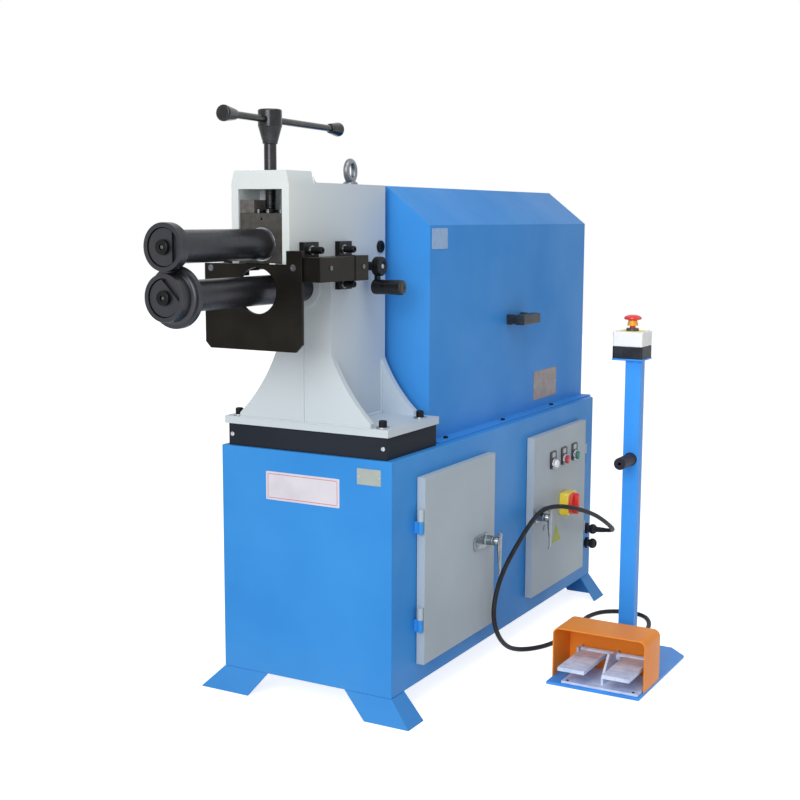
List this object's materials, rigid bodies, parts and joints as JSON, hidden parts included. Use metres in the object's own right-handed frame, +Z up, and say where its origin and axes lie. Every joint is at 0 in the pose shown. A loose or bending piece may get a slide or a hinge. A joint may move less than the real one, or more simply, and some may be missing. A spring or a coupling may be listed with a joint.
{
  "type": "electric bead roller",
  "caption": "Bead rolling machine: motor-driven upper and lower rolls on a cabinet, pressure screw with tommy bar, sliding guide plate, two doors, and a foot pedal pedestal with emergency stop.",
  "frame": {"origin": "on the floor, under the middle of the overall box of machine and pedestal, the control cable left out", "axes": "+Z up, +Y from the rolls towards the back of the machine along the shafts, +X towards the side with the doors and the pedestal"},
  "size_m": [0.941, 1.71, 1.328],
  "materials": {
    "blue_cabinet": "textured blue enamel",
    "blue_cover": "blue enamel on folded sheet",
    "grey_door": "light grey enamel",
    "white_frame": "off-white enamel on cast and welded steel",
    "black_riser": "satin black enamel",
    "black_steel": "blackened, oiled steel",
    "black_guide": "black oxide plate",
    "turned_steel": "blackened turned steel",
    "bright_steel": "bright zinc-plated steel",
    "cast_block": "machined cast iron",
    "bronze": "turned bearing bronze",
    "gear_steel": "hobbed steel",
    "chain_steel": "oiled roller chain",
    "motor_paint": "grey motor enamel",
    "switchgear_plastic": "contactor housings on a zinc plate",
    "chrome_eye": "zinc-plated forged eye",
    "black_grip": "moulded black plastic",
    "label": "printed plate without text",
    "gland_plastic": "black polyamide",
    "chrome_latch": "chrome-plated zinc",
    "legend_plastic": "black legend holders with bezels",
    "red_plastic": "red push button",
    "green_plastic": "green push button",
    "red_knob": "red switch knob",
    "blue_pedestal": "blue enamel",
    "black_box": "black moulded station base",
    "white_lid": "white moulded station lid",
    "red_mushroom": "red mushroom button",
    "orange_guard": "orange enamel",
    "pedal_alloy": "painted cast aluminium",
    "cable_rubber": "black rubber sheath"
  },
  "bodies": {
    "machine": {"cabinet": "blue_cabinet", "cabinet_feet": "blue_cabinet", "hinge_pintles": "blue_cabinet", "riser_box": "black_riser", "frame": "white_frame", "flange_bolts": "black_steel", "panel_screws": "bright_steel", "eye_bolt": "chrome_eye", "cover": "blue_cover", "cover_handle": "black_grip", "plates": "label", "guide_brackets": "black_steel", "bracket_screws": "black_steel", "shaft_bushes": "bronze", "rear_stand": "cast_block", "drive_chain": "chain_steel", "gearmotor": "motor_paint", "switchgear": "switchgear_plastic", "cable_glands": "gland_plastic", "pedestal": "blue_pedestal", "station_base": "black_box", "station_lid": "white_lid", "pedal_guard": "orange_guard", "pedal_casting": "pedal_alloy", "control_cable": "cable_rubber"},
    "lower_carriage": {"axial_shoe": "bronze"},
    "lower_line": {"lower_shaft": "turned_steel", "lower_roll": "turned_steel", "lower_gear": "gear_steel", "lower_roll_clamp": "black_steel"},
    "driven_wheel": {"driven_sprocket": "gear_steel"},
    "driver_wheel": {"motor_sprocket": "gear_steel"},
    "upper_arm": {"bearing_block": "cast_block", "block_gib": "black_steel", "upper_bearings": "bright_steel"},
    "upper_line": {"upper_shaft": "turned_steel", "upper_roll": "turned_steel", "upper_gear": "gear_steel", "upper_roll_clamp": "black_steel"},
    "screw_foot": {"screw_swivel": "black_steel"},
    "screw": {"pressure_screw": "turned_steel"},
    "tommy": {"tommy_bar": "turned_steel"},
    "guide": {"guide_plate": "black_guide", "guide_bar": "black_guide", "guide_screws": "bright_steel"},
    "lever": {"axial_lever": "black_steel"},
    "door_front": {"door_1": "grey_door", "latch_1_plate": "chrome_latch"},
    "latch_front": {"latch_1_lever": "chrome_latch"},
    "door_rear": {"door_2": "grey_door", "latch_2_plate": "chrome_latch", "control_bezels": "legend_plastic"},
    "latch_rear": {"latch_2_lever": "chrome_latch"},
    "stop_button": {"red_button": "red_plastic"},
    "start_button": {"green_button": "green_plastic"},
    "main_switch": {"isolator_knob": "red_knob"},
    "emergency_stop": {"mushroom": "red_mushroom"},
    "left_pedal": {"pedal_left": "pedal_alloy"},
    "right_pedal": {"pedal_right": "pedal_alloy"}
  },
  "joints": [
    {"name": "lower_spin", "type": "hinge", "parent": "lower_carriage", "child": "lower_line", "pos_m": [-0.1775, -0.38, 0.957], "axis": [0, 1, 0], "continuous": true},
    {"name": "axial_lever_turn", "type": "hinge", "parent": "machine", "child": "lever", "pos_m": [-0.0775, -0.233, 1], "axis": [1, 0, 0], "range_deg": [-60, 60]},
    {"name": "axial_shift", "type": "slide", "parent": "machine", "child": "lower_carriage", "axis": [0, 1, 0], "range_m": [-0.00286, 0.00286]},
    {"name": "upper_spin", "type": "hinge", "parent": "upper_arm", "child": "upper_line", "pos_m": [-0.1775, -0.38, 1.052], "axis": [0, 1, 0], "continuous": true},
    {"name": "driven_spin", "type": "hinge", "parent": "machine", "child": "driven_wheel", "pos_m": [-0.1775, 0.06, 0.957], "axis": [0, 1, 0], "continuous": true},
    {"name": "driver_spin", "type": "hinge", "parent": "machine", "child": "driver_wheel", "pos_m": [-0.1775, 0.06, 0.42], "axis": [0, 1, 0], "continuous": true},
    {"name": "screw_turn", "type": "hinge", "parent": "screw_foot", "child": "screw", "pos_m": [-0.1775, -0.498, 1.2], "axis": [0, 0, 1], "range_deg": [-72, 1620]},
    {"name": "screw_feed", "type": "slide", "parent": "machine", "child": "screw_foot", "axis": [0, 0, 1], "range_m": [-0.0008, 0.018]},
    {"name": "upper_lift", "type": "hinge", "parent": "machine", "child": "upper_arm", "pos_m": [-0.1775, 0.02, 1.052], "axis": [-1, 0, 0], "range_deg": [-0.09, 1.99]},
    {"name": "tommy_slide", "type": "slide", "parent": "screw", "child": "tommy", "axis": [-0.1184, 0.993, 0], "range_m": [-0.258, 0.12]},
    {"name": "guide_slide", "type": "slide", "parent": "machine", "child": "guide", "axis": [0, -1, 0], "range_m": [-0.004, 0.08]},
    {"name": "front_door_swing", "type": "hinge", "parent": "machine", "child": "door_front", "pos_m": [0.0625, -0.276, 0.3], "axis": [0, 0, -1], "range_deg": [0, 110], "deforming": ["control_cable"]},
    {"name": "front_latch_turn", "type": "hinge", "parent": "door_front", "child": "latch_front", "pos_m": [0.0825, 0.045, 0.332], "axis": [-1, 0, 0], "range_deg": [0, 90]},
    {"name": "rear_door_swing", "type": "hinge", "parent": "machine", "child": "door_rear", "pos_m": [0.0625, 0.709, 0.3], "axis": [0, 0, 1], "range_deg": [0, 110], "deforming": ["control_cable"]},
    {"name": "rear_latch_turn", "type": "hinge", "parent": "door_rear", "child": "latch_rear", "pos_m": [0.0825, 0.358, 0.327], "axis": [1, 0, 0], "range_deg": [0, 90]},
    {"name": "stop_push", "type": "slide", "parent": "door_rear", "child": "stop_button", "axis": [-1, 0, 0], "range_m": [0, 0.004], "stiffness_N_per_m": 800, "springref_m": -0.002},
    {"name": "start_push", "type": "slide", "parent": "door_rear", "child": "start_button", "axis": [-1, 0, 0], "range_m": [0, 0.004], "stiffness_N_per_m": 800, "springref_m": -0.002},
    {"name": "main_switch_turn", "type": "hinge", "parent": "door_rear", "child": "main_switch", "pos_m": [0.0825, 0.544, 0.33], "axis": [1, 0, 0], "range_deg": [0, 90]},
    {"name": "emergency_push", "type": "slide", "parent": "machine", "child": "emergency_stop", "axis": [0, 0, -1], "range_m": [0, 0.005]},
    {"name": "left_pedal_press", "type": "hinge", "parent": "machine", "child": "left_pedal", "pos_m": [0.3155, 0.153, 0.0575], "axis": [1, 0, 0], "range_deg": [0, 7], "stiffness_Nm_per_rad": 40, "springref_deg": -8.59},
    {"name": "right_pedal_press", "type": "hinge", "parent": "machine", "child": "right_pedal", "pos_m": [0.4255, 0.153, 0.0575], "axis": [1, 0, 0], "range_deg": [0, 7], "stiffness_Nm_per_rad": 40, "springref_deg": -8.59}
  ],
  "couplings": [
    {"joint": "axial_lever_turn", "follows": "axial_shift", "rad_per_m": 366.42},
    {"joint": "upper_spin", "follows": "lower_spin", "ratio": -1},
    {"joint": "driven_spin", "follows": "lower_spin", "ratio": 1},
    {"joint": "driver_spin", "follows": "lower_spin", "ratio": 2},
    {"joint": "screw_feed", "follows": "screw_turn", "m_per_rad": 0.00063662},
    {"joint": "upper_lift", "follows": "screw_turn", "ratio": 0.001229}
  ]
}
